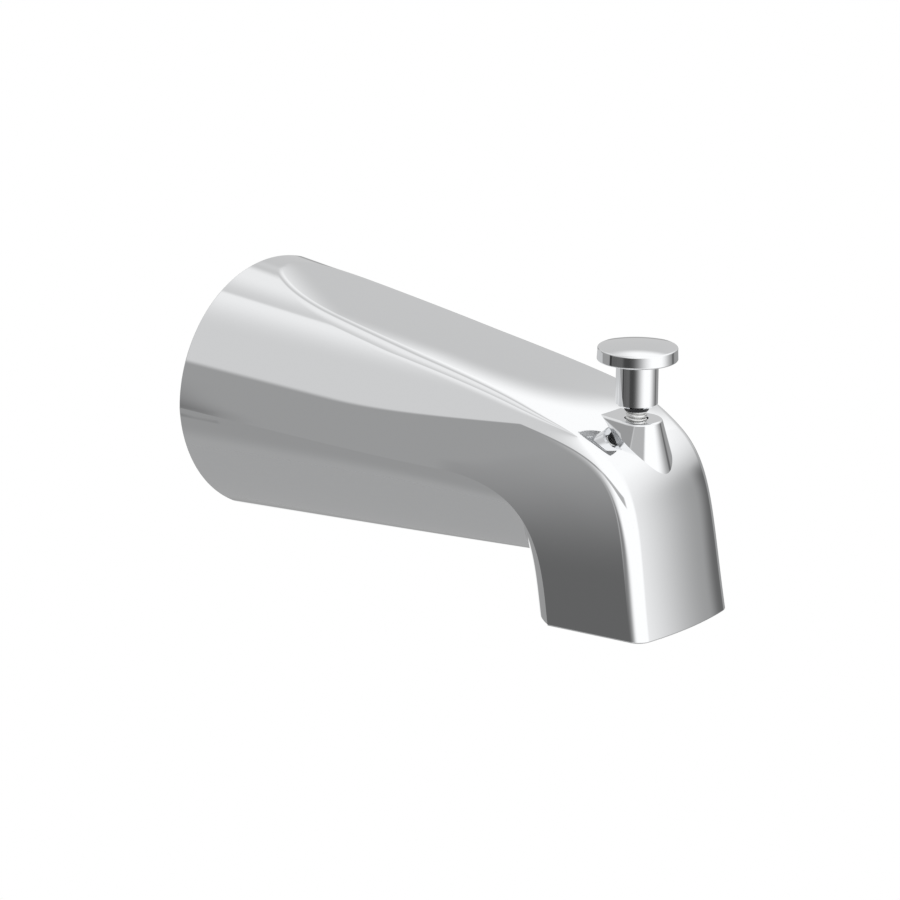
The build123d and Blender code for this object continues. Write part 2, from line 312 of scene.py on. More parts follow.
def curve_through(points, t):
    """Points and tangents of a Bezier curve given by its two ends and its handles."""
    t = np.asarray(t)[:, None]
    p = [np.asarray(q, float) for q in points]
    if len(p) == 3:
        at = (1 - t) ** 2 * p[0] + 2 * t * (1 - t) * p[1] + t ** 2 * p[2]
        along = 2 * (1 - t) * (p[1] - p[0]) + 2 * t * (p[2] - p[1])
    else:
        at = ((1 - t) ** 3 * p[0] + 3 * t * (1 - t) ** 2 * p[1]
              + 3 * t ** 2 * (1 - t) * p[2] + t ** 3 * p[3])
        along = (3 * (1 - t) ** 2 * (p[1] - p[0]) + 6 * t * (1 - t) * (p[2] - p[1])
                 + 3 * t ** 2 * (p[3] - p[2]))
    return at, along


def line_points(a, b, count):
    """Points and tangents of a straight line."""
    t = np.linspace(0, 1, count)[:, None]
    a = np.asarray(a, float)
    b = np.asarray(b, float)
    return a + t * (b - a), np.repeat((b - a)[None], count, 0)


def top_profile():
    """Side outline of the top and front with its outward normals, from behind the wall to below the lip."""
    round_top = WALL_HALF_HEIGHT - ROUND_TAPER * FACET_START
    end_z = round_top + RUN_IN_SLOPE * FACET_START
    meet_x = (end_z - FACET_HEIGHT) / (RUN_IN_SLOPE - FACET_SLOPE)
    after_x = 2 * meet_x - FACET_START
    along = unit(np.array([1, -FACET_SLOPE]))
    ahead = np.array([FACET_START, round_top])
    after = np.array([after_x, facet_z(after_x)])
    nose = np.array([NOSE_START, facet_z(NOSE_START)])
    lip = np.array([REACH, OUTLET_Z])
    bend = [nose, nose + along * NOSE_PULL, lip - front_down * FRONT_PULL, lip]
    pieces = [
        line_points((-BEHIND_WALL, end_z + BEHIND_WALL * RUN_IN_SLOPE), ahead, 30),
        curve_through([ahead, (meet_x, facet_z(meet_x)), after], np.linspace(0, 1, 40)),
        line_points(after, nose, 60),
        curve_through(bend, np.linspace(0, 1, 320)),
        line_points(lip, lip + front_down * PAST_OUTLET, 24),
    ]
    points = np.concatenate([p[0][:-1] for p in pieces] + [pieces[-1][0][-1:]])
    tangents = unit(np.concatenate([p[1][:-1] for p in pieces] + [pieces[-1][1][-1:]]))
    return points, np.stack([-tangents[:, 1], tangents[:, 0]], 1)


def crease_bend(count=3000):
    """The crease's bend, from its straight run to the outlet's rear corner and on below it."""
    start = np.array([CREASE_START, crease_z(CREASE_START)])
    end = np.array([REAR_CORNER, OUTLET_Z])
    handles = [start, start + (CREASE_PULL, 0), end - front_down * REAR_PULL, end]
    bend = curve_through(handles, np.linspace(0, 1, count))[0]
    return np.concatenate([bend, [end + front_down * PAST_OUTLET]])


profile_points, profile_normals = top_profile()
bend_points = crease_bend()


def top_distance(x, y, z):
    """Distance and normal of the bowed top and front."""
    shape = x.shape
    q = np.stack([(x + bow_back(y)).ravel(), z.ravel()], 1)
    nearest = np.empty(len(q), int)
    for k in range(0, len(q), BATCH):
        part = q[k:k + BATCH]
        ahead = part[:, :1] - profile_points[None, :, 0]
        above = part[:, 1:] - profile_points[None, :, 1]
        nearest[k:k + BATCH] = (ahead ** 2 + above ** 2).argmin(1)
    best = np.full(len(q), 1e9)
    distance = np.zeros(len(q))
    normal = np.zeros((len(q), 2))
    for shift in (-1, 0):
        i = np.clip(nearest + shift, 0, len(profile_points) - 2)
        a = profile_points[i]
        b = profile_points[i + 1]
        t = (((q - a) * (b - a)).sum(1) / ((b - a) ** 2).sum(1)).clip(0, 1)[:, None]
        n = unit(profile_normals[i] * (1 - t) + profile_normals[i + 1] * t)
        away = q - a - t * (b - a)
        length = (away ** 2).sum(1)
        closer = length < best
        best = np.where(closer, length, best)
        distance = np.where(closer, (away * n).sum(1), distance)
        normal = np.where(closer[:, None], n, normal)
    slope = 2 * FRONT_BOW * y.ravel() / LIP_HALF_WIDTH ** 2
    full = np.stack([normal[:, 0], normal[:, 0] * slope, normal[:, 1]], 1)
    size = np.linalg.norm(full, axis=1)
    return (distance / size).reshape(shape), (full / size[:, None]).reshape(shape + (3,))


def round_distance(x, y, z):
    """Distance and normal of the tapered round back, with straight drafted feet."""
    scale = 1 - ROUND_TAPER * x / WALL_HALF_HEIGHT
    radius = (WALL_HALF_WIDTH ** 2 + WALL_HALF_HEIGHT ** 2) / (2 * WALL_HALF_HEIGHT) * scale
    centre = WALL_HALF_HEIGHT * scale - radius
    rise = z - centre
    lean = FOOT_DRAFT * np.clip(x / FOOT_LEAD, 0, 1)
    level = np.sqrt(1 - lean ** 2)
    foot = rise * level < np.abs(y) * lean
    out = np.maximum(np.where(foot, np.abs(y) * level + rise * lean, np.hypot(y, rise)), 1e-9)
    across = np.where(foot, np.where(y < 0, -1, 1) * level, y / out)
    up = np.where(foot, lean, rise / out)
    shrink = -ROUND_TAPER / WALL_HALF_HEIGHT
    nx = -(centre / scale * shrink) * up - radius / scale * shrink
    normal = np.stack([nx, across, up], -1)
    size = np.linalg.norm(normal, axis=-1)
    return (out - radius) / size, normal / size[..., None]


def side_distance(x, y, z):
    """Distance and normal of the flat sides."""
    size = math.sqrt(1 + SIDE_TAPER ** 2 + SIDE_DRAFT ** 2)
    out = np.where(y < 0, -1.0, 1.0)
    normal = np.stack([np.full(x.shape, SIDE_TAPER), out, np.full(x.shape, SIDE_DRAFT)], -1)
    return (np.abs(y) - side_half(x, z)) / size, normal / size


def rounded(first, second, radius):
    """Common part of two forms, with a rolled edge of the given radius."""
    d1, n1 = first
    d2, n2 = second
    c = (n1 * n2).sum(-1)
    s2 = np.maximum(1 - c * c, 1e-9)
    a = d1 + radius
    b = d2 + radius
    alpha = (a - b * c) / s2
    beta = (b - a * c) / s2
    far = np.sqrt(np.maximum((a * a + b * b - 2 * a * b * c) / s2, 1e-12))
    on_edge = (alpha > 0) & (beta > 0)
    edge_normal = (alpha[..., None] * n1 + beta[..., None] * n2) / far[..., None]
    d = np.where(on_edge, far - radius, np.maximum(d1, d2))
    n = np.where(on_edge[..., None], edge_normal, np.where((d1 > d2)[..., None], n1, n2))
    return d, unit(n)


def eased(first, second, width):
    """Common part of two forms, with an even change from one to the other."""
    d1, n1 = first
    d2, n2 = second
    near = np.clip(1 - np.abs(d1 - d2) / width, 0, 1)
    share = np.where(d1 > d2, 1 - near ** 2 / 2, near ** 2 / 2)[..., None]
    return np.maximum(d1, d2) + near ** 3 * width / 6, unit(share * n1 + (1 - share) * n2)


def edge_share(z):
    """How far the long edge has grown from its rounding at the lip to its largest, by height."""
    grown = np.clip((z - EDGE_LOW) / EDGE_RISE, 0, 1) ** EDGE_POWER
    return grown * (1 - 0.5 * np.clip((z - EDGE_FALL_FROM) / EDGE_FALL, 0, 1))


def hood_distance(x, y, z):
    """Distance and normal of the upper body and nose."""
    sides = eased(round_distance(x, y, z), side_distance(x, y, z), SIDE_BLEND)
    share = edge_share(z)
    top, top_normal = top_distance(x, y, z)
    near = np.clip(1 + sides[0] / LEAD_WIDTH, 0, LEAD_LIMIT)
    tilted = top_normal + (2 * LEAD_DROP / LEAD_WIDTH * share * near)[..., None] * sides[1]
    size = np.linalg.norm(tilted, axis=-1)
    top = (top + LEAD_DROP * share * near ** 2) / size
    return rounded((top, tilted / size[..., None]), sides, LIP_EDGE + (BACK_EDGE - LIP_EDGE) * share)


def crease_hang(x):
    """Height of the crease above the belly, along its straight run and into its bend."""
    bent = np.interp(np.minimum(x, HANG_END), bend_points[:, 0], bend_points[:, 1])
    return np.where(x < CREASE_START, crease_z(x), bent)


def crease_halves():
    """Half width of the upper body at the crease, for stations along it."""
    x = np.linspace(-2, 118, 481)
    z = crease_hang(x)
    ends = np.zeros(x.shape), np.full(x.shape, OUTSIDE)
    return x, halve(lambda y: hood_distance(x, y, z)[0] < 0, *ends, 24)[0]


hang_stations, hang_halves = crease_halves()


def belly_gap(x, y, z):
    """Distance to the round belly that hangs from the crease."""
    half = np.interp(x, hang_stations, hang_halves) - CREASE_STEP * ease((x - STEP_FROM) / STEP_RUN)
    low = belly_low(x)
    sag = crease_hang(x) - low
    radius = (half ** 2 + sag ** 2) / (2 * sag)
    return np.hypot(y, z - low - radius) - radius


def rear_gap(x, y, z):
    """Distance to the round rear of the nose."""
    level = np.clip(z, bend_points[-1, 1], bend_points[REAR_FIRST, 1])
    corner = np.interp(-level, -bend_points[:, 1], bend_points[:, 0])
    width = side_half(corner, level) - CREASE_STEP
    turn = (width ** 2 + REAR_BULGE ** 2) / (2 * REAR_BULGE)
    return np.hypot(y, x - corner + REAR_BULGE - turn) - turn


def stepped(gap, x, y, z):
    """Distance and normal of a form, from small steps each way."""
    step = 0.02
    normal = np.stack([
        gap(x + step, y, z) - gap(x - step, y, z),
        gap(x, y + step, z) - gap(x, y - step, z),
        gap(x, y, z + step) - gap(x, y, z - step),
    ], -1) / (2 * step)
    size = np.maximum(np.linalg.norm(normal, axis=-1), 1e-9)
    return gap(x, y, z) / size, normal / size[..., None]


def underside_distance(x, y, z):
    """Distance and normal of the belly and the nose's rear, with a hollow rounding between them."""
    belly, belly_normal = stepped(belly_gap, x, y, z)
    rear, rear_normal = stepped(rear_gap, x, y, z)
    gap, normal = rounded((-belly, -belly_normal), (-rear, -rear_normal), INNER_RADIUS)
    return -gap, -normal


# Skins as rows of points round the casting


def along_polyline(points, share):
    """Points at the given shares of a polyline's length."""
    length = np.concatenate([[0], np.cumsum(np.linalg.norm(np.diff(points, axis=0), axis=1))])
    return np.stack([np.interp(share * length[-1], length, points[:, k]) for k in (0, 1)], 1)


def row_places(rim):
    """For each row: a point on the crease, one on the top and one on the underside, in the middle plane."""
    shift = bow_back(REAR_HALF_WIDTH)
    straight = np.linspace(rim, TURN_X, STRAIGHT_ROWS)
    share = np.linspace(0, 1, BEND_ROWS + 1)[1:]
    bottom = OUTLET_Z + rim
    rim_up = front_down * (rim / -front_down[1])
    bend = bend_points[:-1] + (shift, 0)
    bend = bend[bend[:, 1] > bottom]
    corner = np.array([REAR_CORNER + shift, OUTLET_Z]) - rim_up
    crease_line = np.concatenate([[(TURN_X, crease_z(TURN_X))], bend, [corner]])
    top_line = profile_points[(profile_points[:, 0] > TURN_X) & (profile_points[:, 1] > bottom)]
    top_start = (TURN_X, np.interp(TURN_X, *profile_points[:FACET_POINTS].T))
    lip = np.array([REACH, OUTLET_Z]) - rim_up
    top_line = np.concatenate([[top_start], top_line, [lip]])
    low_line = np.array([
        (TURN_X, belly_low(TURN_X)), (BELLY_END, belly_low(BELLY_END)),
        (REAR_CORNER - REAR_BULGE - 0.1, bottom)])
    rows = []
    for heights, line in (
            (crease_z(straight), crease_line), (np.full(STRAIGHT_ROWS, OUTSIDE), top_line),
            (np.full(STRAIGHT_ROWS, -OUTSIDE), low_line)):
        rows.append(np.concatenate([np.stack([straight, heights], 1), along_polyline(line, share)]))
    return rows


def reach_skin(crease, toward, theta, distance, bowed):
    """Points where rays from the crease line meet a form, with the form's normals."""
    heading = unit(toward - crease)
    share = bowed * np.clip((crease[:, :1] - BOW_FROM) / BOW_RUN, 0, 1)
    cos_t = np.cos(theta)
    sin_t = np.sin(theta)

    def place(rho):
        y = rho * cos_t
        x = crease[:, :1] + rho * sin_t * heading[:, :1] - share * bow_back(y)
        z = crease[:, 1:] + rho * sin_t * heading[:, 1:]
        return x, y, z

    def gap(rho):
        return distance(*place(rho))[0]

    def crossing():
        return near - d_near * (far - near) / np.where(d_far == d_near, 1, d_far - d_near)

    ends = np.zeros(theta.shape), np.full(theta.shape, FAR_REACH)
    near, far = halve(lambda rho: gap(rho) < 0, *ends, 14)
    d_near = gap(near)
    d_far = gap(far)
    for _ in range(3):
        guess = np.clip(crossing(), near, far)
        d = gap(guess)
        inside = d < 0
        near, d_near = np.where(inside, guess, near), np.where(inside, d, d_near)
        far, d_far = np.where(inside, far, guess), np.where(inside, d_far, d)
    x, y, z = place(crossing())
    return np.stack([x, y, z], -1), distance(x, y, z)[1]


def smooth_rows(values, passes):
    """Evens a table along its rows and keeps its ends."""
    for _ in range(passes):
        inner = (values[:-2] + 2 * values[1:-1] + values[2:]) / 4
        values = np.concatenate([values[:1], inner, values[-1:]])
    return values


def skin_rows(crease, toward, distance, bowed, count, tightness):
    """Half rows from the crease to the middle plane, closer where the form turns, then mirrored."""
    dense = np.linspace(0, math.pi / 2, 3 * count)[None].repeat(len(crease), 0)
    points, normals = reach_skin(crease, toward, dense, distance, bowed)
    step = np.linalg.norm(np.diff(points, axis=1), axis=2)
    turn = np.linalg.norm(np.diff(normals, axis=1), axis=2)
    turn = smooth_rows(turn.T, 6).T
    by_turn = tightness * turn / np.maximum(turn.sum(1, keepdims=True), 1e-6)
    weight = step / step.sum(1, keepdims=True) + by_turn
    total = np.concatenate([np.zeros((len(crease), 1)), np.cumsum(weight, 1)], 1)
    total /= total[:, -1:]
    share = np.linspace(0, 1, count)
    theta = np.stack([np.interp(share, total[k], dense[k]) for k in range(len(crease))])
    theta = smooth_rows(theta, 4)
    points, normals = reach_skin(crease, toward, theta, distance, bowed)
    points[:, -1, 1] = 0
    flip = np.array([1, -1, 1])
    points = np.concatenate([points, points[:, -2::-1] * flip], 1)
    normals = np.concatenate([normals, normals[:, -2::-1] * flip], 1)
    return points, normals


def round_over(points, normals, heading, radius, steps=5):
    """Rows that roll a form's last row over into a flat end."""
    heading = np.asarray(heading, float)
    flat = unit(normals - (normals @ heading)[:, None] * heading)
    rows = []
    tilts = []
    for cos_a, sin_a in quarter_turn(steps):
        rows.append(points + radius * ((cos_a - 1) * flat + sin_a * heading))
        tilts.append(cos_a * flat + sin_a * heading)
    return np.stack(rows), np.stack(tilts)


def with_rims(points, normals, rim):
    """A skin's rows with its rolled rims at the wall and at the outlet."""
    start, start_normals = round_over(points[0], normals[0], (-1, 0, 0), rim)
    end, end_normals = round_over(points[-1], normals[-1], (0, 0, -1), rim)
    rows = np.concatenate([start[::-1], points, end])
    return rows, np.concatenate([start_normals[::-1], normals, end_normals])


class Shell:
    """Collects faces with a normal at each corner, and makes one welded mesh of them."""

    def __init__(self):
        self.points = []
        self.faces = []
        self.corner_normals = []
        self.materials = []
        self.total = 0

    def add_faces(self, points, faces, corner_normals, material):
        self.points.append(points)
        self.faces.append(faces + self.total)
        self.corner_normals.append(corner_normals)
        self.materials.append(np.full(len(faces), material))
        self.total += len(points)

    def grid(self, points, normals=None, around=False, flip=False, material=0):
        """Quads between rows of points. Without normals the corners take the mesh's own."""
        rows, columns = points.shape[:2]
        index = np.arange(rows * columns).reshape(rows, columns)
        if around:
            index = np.concatenate([index, index[:, :1]], 1)
        corners = [index[:-1, :-1], index[:-1, 1:], index[1:, 1:], index[1:, :-1]]
        quads = np.stack(corners, -1).reshape(-1, 4)
        if flip:
            quads = quads[:, ::-1]
        flat = np.zeros((rows * columns, 3)) if normals is None else normals.reshape(-1, 3)
        self.add_faces(points.reshape(-1, 3), quads, flat[quads], material)

    def turn(self, run, segments, material=0):
        """Faces of one run of an outline turned about the rod's axis."""
        points, normals = turned(run, ROD_STATION, segments)
        self.grid(points, normals, around=True, flip=True, material=material)

    def drop_missing(self):
        """Leaves out the faces that touch a missing point."""
        missing = np.isnan(np.concatenate(self.points)).any(1)
        self.points = [np.nan_to_num(p, nan=0.0) for p in self.points]
        for k, faces in enumerate(self.faces):
            good = ~missing[faces].any(1)
            for group in (self.faces, self.corner_normals, self.materials):
                group[k] = group[k][good]

    def make(self, name, materials, fills=()):
        """The welded object. Each fill closes the open edges that lie in one plane."""
        mesh = bpy.data.meshes.new(name)
        faces = [face for group in self.faces for face in group.tolist()]
        mesh.from_pydata((np.concatenate(self.points) * MM).tolist(), [], faces)
        for material in materials:
            mesh.materials.append(material)
        mesh.polygons.foreach_set("material_index", np.concatenate(self.materials).astype(np.int32))
        layer = mesh.attributes.new("form_normal", "FLOAT_VECTOR", "CORNER")
        normals = np.concatenate([group.reshape(-1, 3) for group in self.corner_normals])
        layer.data.foreach_set("vector", normals.astype(np.float32).ravel())
        bm = bmesh.new()
        bm.from_mesh(mesh)
        bmesh.ops.remove_doubles(bm, verts=bm.verts, dist=WELD)
        for axis, at, normal, material in fills:
            edges = [
                edge for edge in bm.edges
                if edge.is_boundary and all(abs(v.co[axis] - at * MM) < IN_PLANE for v in edge.verts)]
            made = bmesh.ops.triangle_fill(
                bm, use_beauty=True, use_dissolve=False, edges=edges, normal=normal)
            for face in made["geom"]:
                if isinstance(face, bmesh.types.BMFace):
                    face.material_index = material
                    if face.normal.dot(normal) < 0:
                        face.normal_flip()
        bm.to_mesh(mesh)
        bm.free()
        mesh.shade_smooth()
        mesh.set_sharp_from_angle(angle=math.radians(SHARP_ANGLE))
        kept = np.zeros(len(mesh.loops) * 3, np.float32)
        mesh.attributes["form_normal"].data.foreach_get("vector", kept)
        mesh.attributes.remove(mesh.attributes["form_normal"])
        mesh.normals_split_custom_set(kept.reshape(-1, 3).tolist())
        obj = bpy.data.objects.new(name, mesh)
        bpy.context.scene.collection.objects.link(obj)
        return obj


def boss_outline(z, inset):
    """Teardrop outline of the rod boss at height z, moved in by inset, with its normals in plan."""
    angle = math.radians(BOSS_ANGLE)
    growth = (BOSS_SIDE_DRAFT + BOSS_FRONT_DRAFT * math.sin(angle)) / (1 + math.sin(angle))
    centre = ROD_STATION + BOSS_AHEAD + (BOSS_FRONT_DRAFT - growth) * (BOSS_TOP - z)
    radius = BOSS_RADIUS + growth * (BOSS_TOP - z)
    swing = np.linspace(-math.pi / 2 - angle, math.pi / 2 + angle, 97)
    arc_normals = np.stack([np.cos(swing), np.sin(swing)], 1)
    arc = np.array([centre, 0]) + radius * arc_normals
    rear_x = ROD_STATION - BOSS_BACK
    rear_y = arc[-1, 1] - (arc[-1, 0] - rear_x) * math.tan(angle)
    share = np.linspace(0, 1, 25)[:-1, None]
    left = np.array([rear_x, -rear_y]) * (1 - share) + arc[0] * share
    right = left[::-1] * (1, -1)
    plan = np.concatenate([left, arc, right])
    flanks = [np.repeat(arc_normals[k][None], len(left), 0) for k in (0, -1)]
    normals = np.concatenate([flanks[0], arc_normals, flanks[1]])
    plan = plan - inset * normals
    return np.column_stack([plan, np.full(len(plan), z)]), np.column_stack([normals, np.zeros(len(plan))])


def boss_rows():
    """Rows of the boss from its foot in the casting to the rod's hole."""
    foot = boss_outline(BOSS_FOOT, 0)[0]
    shoulder = boss_outline(BOSS_TOP - BOSS_EDGE, 0)[0]
    levels = np.linspace(0, 1, BOSS_LEVELS)[:, None, None]
    wall_normals = unit(np.cross(np.gradient(shoulder, axis=0), shoulder - foot))
    rows = [*(foot * (1 - levels) + shoulder * levels)]
    normals = [wall_normals] * BOSS_LEVELS
    up = np.array([0.0, 0.0, 1.0])
    for cos_a, sin_a in quarter_turn(5):
        level = BOSS_TOP - BOSS_EDGE + BOSS_EDGE * sin_a
        rows.append(boss_outline(level, BOSS_EDGE * (1 - cos_a))[0])
        normals.append(unit(cos_a * wall_normals + sin_a * up))
    edge = rows[-1]
    ring = ring_at(np.arctan2(edge[:, 1], edge[:, 0] - ROD_STATION))
    centre = np.array([ROD_STATION, 0, BOSS_TOP])
    for share in (0.35, 0.7, 1.0):
        rows.append(edge * (1 - share) + (centre + (ROD_HOLE + HOLE_RIM) * ring) * share)
        normals.append(np.repeat(up[None], len(edge), 0))
    for cos_a, sin_a in quarter_turn(4):
        out = ROD_HOLE + HOLE_RIM * (1 - sin_a)
        rows.append(centre + out * ring - up * HOLE_RIM * (1 - cos_a))
        normals.append(unit(cos_a * up - sin_a * ring))
    rows.append(rows[-1] - up * HOLE_DEPTH)
    normals.append(-ring)
    return np.stack(rows), np.stack(normals)


def inside_of_casting(shell):
    """Adds the casting's hollows, walls and bores from the solid, without its outer faces and its rims."""
    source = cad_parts["spout_body"].data
    points = np.zeros(len(source.vertices) * 3)
    source.vertices.foreach_get("co", points)
    points = points.reshape(-1, 3) / MM
    source.calc_loop_triangles()
    corners = np.zeros(len(source.loop_triangles) * 3, np.int32)
    source.loop_triangles.foreach_get("vertices", corners)
    corners = corners.reshape(-1, 3)
    a, b, c = points[corners].transpose(1, 0, 2)
    normal = unit(np.cross(b - a, c - a) + 1e-12)
    x, y, z = points[corners].mean(1).T
    behind_bend = x < np.interp(-z, -bend_points[:, 1], bend_points[:, 0]) + SEAM_SLACK
    below_crease = (z < crease_z(x) + CREASE_SLACK) & behind_bend
    under = below_crease & (underside_distance(x, y, z)[0] > -UNDER_DEPTH)
    outer = (hood_distance(x, y, z)[0] > -SKIN_DEPTH) | under
    wall_rim = (normal[:, 0] < -FACING) & (x < RIM_SLACK)
    outlet_rim = (normal[:, 2] < -FACING) & (z < OUTLET_Z + RIM_SLACK)
    bore_top = (np.hypot(x - ROD_STATION, y) < ROD_HOLE + SEAM_SLACK) & (z > BORE_TOP)
    keep = ~(outer | wall_rim | outlet_rim | bore_top)
    used, packed = np.unique(corners[keep], return_inverse=True)
    faces = packed.reshape(-1, 3)
    shell.add_faces(points[used], faces, np.zeros(faces.shape + (3,)), 1)


def spout_skin(rim):
    """The casting: outer skins, crease step, boss and inside, in one shell."""
    crease, tops, lows = row_places(rim)
    upper, upper_normals = skin_rows(crease, tops, hood_distance, 1.0, UPPER_COLUMNS, UPPER_TIGHTNESS)
    low_crease = upper[:, 0, [0, 2]]
    lower, lower_normals = skin_rows(
        low_crease, lows, underside_distance, 0.0, LOWER_COLUMNS, LOWER_TIGHTNESS)
    upper, upper_normals = with_rims(upper, upper_normals, rim)
    lower, lower_normals = with_rims(lower, lower_normals, rim)
    hidden = np.hypot(upper[..., 0] - ROD_STATION, upper[..., 1]) < HIDDEN_RADIUS
    upper = np.where((hidden & (upper[..., 2] > HIDDEN_ABOVE))[..., None], np.nan, upper)
    shell = Shell()
    shell.grid(upper, upper_normals)
    shell.grid(lower, lower_normals, flip=True)
    for side in (0, -1):
        strip = np.stack([upper[:, side], lower[:, side]], 1)
        shell.grid(strip, flip=side == 0)
    shell.drop_missing()
    boss, boss_normals = boss_rows()
    shell.grid(boss, boss_normals, around=True)
    inside_of_casting(shell)
    return shell


# Turned pieces


def turned(outline, station, segments):
    """Rows of a turned form about an upright axis, from (radius, height, radial and upward normal)."""
    ring = circle(segments)
    outline = np.asarray(outline, float)
    points = outline[:, None, :1] * ring[None]
    points[..., 0] += station
    points[..., 2] = outline[:, 1, None]
    normals = outline[:, None, 2:3] * ring[None]
    normals[..., 2] = outline[:, 3, None]
    return points, unit(normals)


def straight_runs(outline):
    """Straight runs of a turned outline, each with its own normal. The outline goes down the outside."""
    runs = []
    for (r0, z0), (r1, z1) in zip(outline, outline[1:]):
        runs.append([(r0, z0, z0 - z1, r1 - r0), (r1, z1, z0 - z1, r1 - r0)])
    return runs


def rolled(centre, radius, start, end, count=8):
    """Outline points round a rolled edge, from one angle to another in degrees."""
    points = []
    for a in np.radians(np.linspace(start, end, count)):
        across, up = math.cos(a), math.sin(a)
        points.append((centre[0] + radius * across, centre[1] + radius * up, across, up))
    return points


def dome_outline():
    """Arc of the head's top from its middle to the rolled edge."""
    radius = (HEAD_RADIUS ** 2 + HEAD_DOME ** 2) / (2 * HEAD_DOME)
    centre = HEAD_RIM + HEAD_DOME - radius
    spread = np.linspace(0, math.asin((HEAD_RADIUS - HEAD_ROUNDING) / radius), 20)
    return [(radius * math.sin(a), centre + radius * math.cos(a), math.sin(a), math.cos(a)) for a in spread]


def knob_shell(segments):
    """The turned knob, each run of its outline with its own normals."""
    shell = Shell()
    dome = dome_outline()
    edge_r, edge_z, edge_out, edge_up = dome[-1]
    r = HEAD_ROUNDING
    start = math.degrees(math.atan2(edge_up, edge_out))
    top_roll = rolled((edge_r - r * edge_out, edge_z - r * edge_up), r, start, 0)
    low_roll = rolled((HEAD_RADIUS - r, STEM_TOP + r), r, 0, -90)
    head = dome + top_roll[1:] + low_roll
    scale = HEAD_RADIUS / max(p[0] for p in head)
    head = [(p[0] * scale, *p[1:]) for p in head]
    f = HEAD_FILLET
    root = [(STEM_RADIUS + f - f * math.sin(a), STEM_TOP - f + f * math.cos(a), math.sin(a), -math.cos(a))
            for a in np.radians(np.linspace(0, 90, 6))]
    under_head = [(head[-1][0], STEM_TOP, 0, -1), (STEM_RADIUS + f, STEM_TOP, 0, -1)]
    c = STEM_CHAMFER
    stem = root + [(STEM_RADIUS, z, 1, 0) for z in np.linspace(STEM_TOP - 1, STEM_BOTTOM + c, 12)]
    bore_top = STEM_BOTTOM + KNOB_BORE_DEPTH
    foot = straight_runs([
        (STEM_RADIUS, STEM_BOTTOM + c), (STEM_RADIUS - c, STEM_BOTTOM), (KNOB_BORE, STEM_BOTTOM),
        (KNOB_BORE, bore_top), (0, bore_top)])
    for run in [head, under_head, stem, *foot]:
        shell.turn(run, segments, int(run is under_head))
    return shell


def ring_shell():
    """The ring under the knob's stem, narrower at its foot."""
    shell = Shell()
    top = STEM_BOTTOM - RING_GAP
    foot = STEM_BOTTOM - RING_HEIGHT
    bore = KNOB_BORE - RING_GRIP
    lean = unit(np.array([RING_HEIGHT - 0.55, RING_FOOT - RING_RADIUS]))
    outside = [
        (RING_RADIUS, top, 1, 0), (RING_RADIUS, STEM_BOTTOM - 0.35, 1, 0),
        (RING_RADIUS - 0.03, STEM_BOTTOM - 0.45, *lean), (RING_FOOT + 0.03, foot + 0.1, *lean),
        (RING_FOOT, foot + 0.04, 0.7, -0.7), (RING_FOOT - 0.05, foot, 0, -1)]
    inside = straight_runs([(RING_FOOT - 0.05, foot), (bore, foot), (bore, top), (RING_RADIUS, top)])
    for run in [outside, *inside]:
        shell.turn(run, RING_SEGMENTS)
    return shell


def rod_shell(core):
    """The turned rod: threaded core, shank, collar, neck and button."""
    shell = Shell()
    outline = [
        (0, ROD_TOP), (ROD_RADIUS, ROD_TOP), (ROD_RADIUS, THREAD_TOP), (core, THREAD_TOP),
        (core, THREAD_FOOT), (ROD_RADIUS, THREAD_FOOT), (ROD_RADIUS, SHANK_END),
        (COLLAR_RADIUS, SHANK_END), (COLLAR_RADIUS, COLLAR_END), (ROD_RADIUS, COLLAR_END),
        (ROD_RADIUS, NECK_START), (NECK_RADIUS, NECK_START), (NECK_RADIUS, NECK_END),
        (BUTTON_RADIUS, NECK_END), (BUTTON_RADIUS, ROD_FOOT), (0, ROD_FOOT)]
    for run in straight_runs(outline):
        shell.turn(run, ROD_SEGMENTS)
    return shell


# Finishes


def add(tree, kind, place, **values):
    """A node with its settings and socket values."""
    node = tree.nodes.new(kind)
    node.location = place
    for key, value in values.items():
        if key.startswith("in_"):
            name = key[3:].replace("_", " ")
            node.inputs[int(name) if name.isdigit() else name].default_value = value
        else:
            setattr(node, key, value)
    return node


def wire(tree, *joins):
    """Links, each given as a node, its output, the next node and its input."""
    for source, output, target, socket in joins:
        tree.links.new(source.outputs[output], target.inputs[socket])


def group_named(name, inputs, outputs):
    """A shader node group with named sockets, which are numbers unless called Color."""
    tree = bpy.data.node_groups.new(name, "ShaderNodeTree")
    for side, labels in (("INPUT", inputs), ("OUTPUT", outputs)):
        for label in labels:
            kind = "NodeSocketColor" if label == "Color" else "NodeSocketFloat"
            tree.interface.new_socket(label, in_out=side, socket_type=kind)
    return tree, add(tree, "NodeGroupInput", (-900, 0)), add(tree, "NodeGroupOutput", (900, 0))


